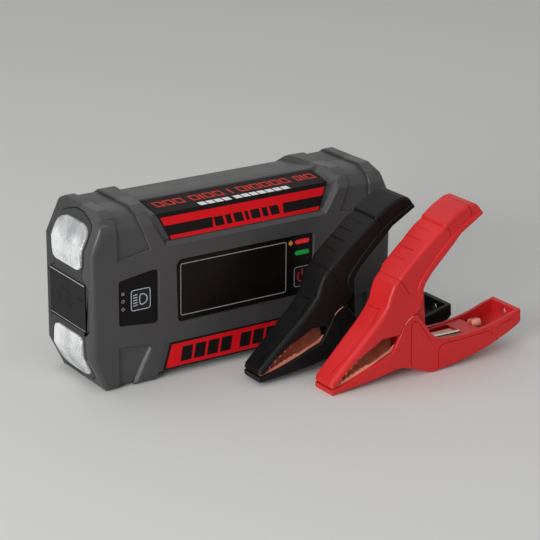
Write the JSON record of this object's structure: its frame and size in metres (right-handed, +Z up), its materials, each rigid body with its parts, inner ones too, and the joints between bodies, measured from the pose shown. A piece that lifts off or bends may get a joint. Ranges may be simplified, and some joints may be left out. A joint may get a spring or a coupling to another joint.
{
  "type": "jump starter pack",
  "caption": "Boxy portable car jump starter with lamps and covered ports at one end, a display, push buttons, and a red and a black battery clamp with sprung jaws.",
  "frame": {"origin": "middle of the pack's footprint, on the ground", "axes": "+X along the pack, away from the lamp end; -Y out of the display side; +Z up"},
  "size_m": [0.2713, 0.1442, 0.114],
  "materials": {
    "case": "fine grain",
    "rear_case": "fine grain",
    "insert": "matte",
    "lens": "frosted clear",
    "reflector": "mirror coated",
    "led": "satin",
    "cover": "matte",
    "steel": "bright",
    "socket_body": "matte",
    "contacts": "satin",
    "tongues": "matte",
    "gloss_black": "gloss",
    "display": "satin",
    "button": "gloss",
    "switch": "matte",
    "lights": "clear tinted",
    "label": "printed film",
    "cells": "laminate film",
    "board": "lacquered",
    "red_plastic": "satin",
    "black_plastic": "satin",
    "copper": "copper plated"
  },
  "bodies": {
    "pack": {"front_shell": "case", "rear_shell": "rear_case", "lamp_bezel": "insert", "end_plate": "insert", "upper_lens": "lens", "lower_lens": "lens", "upper_reflector": "reflector", "lower_reflector": "reflector", "lamp_leds": "led", "port_cover_pin": "steel", "port_block": "socket_body", "jump_contacts": "contacts", "usb_shells": "steel", "usb_tongues": "tongues", "display_window": "gloss_black", "display_module": "display", "lamp_panel": "gloss_black", "lamp_switch": "switch", "power_switch": "switch", "status_lights": "lights", "upper_label": "label", "lower_label": "label", "battery_cells": "cells", "cell_bars": "contacts", "main_board": "board", "case_screws": "steel"},
    "flap": {"port_cover": "cover"},
    "lamp_key": {"lamp_button": "button"},
    "power_key": {"power_button": "button"},
    "red_base": {"red_lower_arm": "red_plastic", "red_lower_jaw": "copper", "red_pin": "steel", "red_spring": "steel"},
    "black_base": {"black_lower_arm": "black_plastic", "black_lower_jaw": "copper", "black_pin": "steel", "black_spring": "steel"},
    "red_lever": {"red_upper_arm": "red_plastic", "red_upper_jaw": "copper"},
    "black_lever": {"black_upper_arm": "black_plastic", "black_upper_jaw": "copper"}
  },
  "joints": [
    {"name": "port_cover_hinge", "type": "hinge", "parent": "pack", "child": "flap", "pos_m": [-0.1119, 0, 0.0405], "axis": [0, -1, 0], "range_deg": [0, 100]},
    {"name": "lamp_button_press", "type": "slide", "parent": "pack", "child": "lamp_key", "axis": [0, 1, 0], "range_m": [0, 0.0006], "stiffness_N_per_m": 1500, "springref_m": -0.0004},
    {"name": "power_button_press", "type": "slide", "parent": "pack", "child": "power_key", "axis": [0, 1, 0], "range_m": [0, 0.0006], "stiffness_N_per_m": 1500, "springref_m": -0.0004},
    {"name": "red_clamp_lift", "type": "slide", "parent": "pack", "child": "red_base", "axis": [0, 0, 1], "range_m": [0, 0.12]},
    {"name": "red_clamp_open", "type": "hinge", "parent": "red_base", "child": "red_lever", "pos_m": [0.0757, -0.1, 0.028], "axis": [0, 1, 0], "range_deg": [0, 35], "stiffness_Nm_per_rad": 1.5, "springref_deg": -8.59, "deforming": ["red_spring"]},
    {"name": "black_clamp_lift", "type": "slide", "parent": "pack", "child": "black_base", "axis": [0, 0, 1], "range_m": [0, 0.12]},
    {"name": "black_clamp_open", "type": "hinge", "parent": "black_base", "child": "black_lever", "pos_m": [0.04699, -0.0642, 0.02839], "axis": [0, 1, 0], "range_deg": [0, 35], "stiffness_Nm_per_rad": 1.5, "springref_deg": -8.59, "deforming": ["black_spring"]}
  ]
}
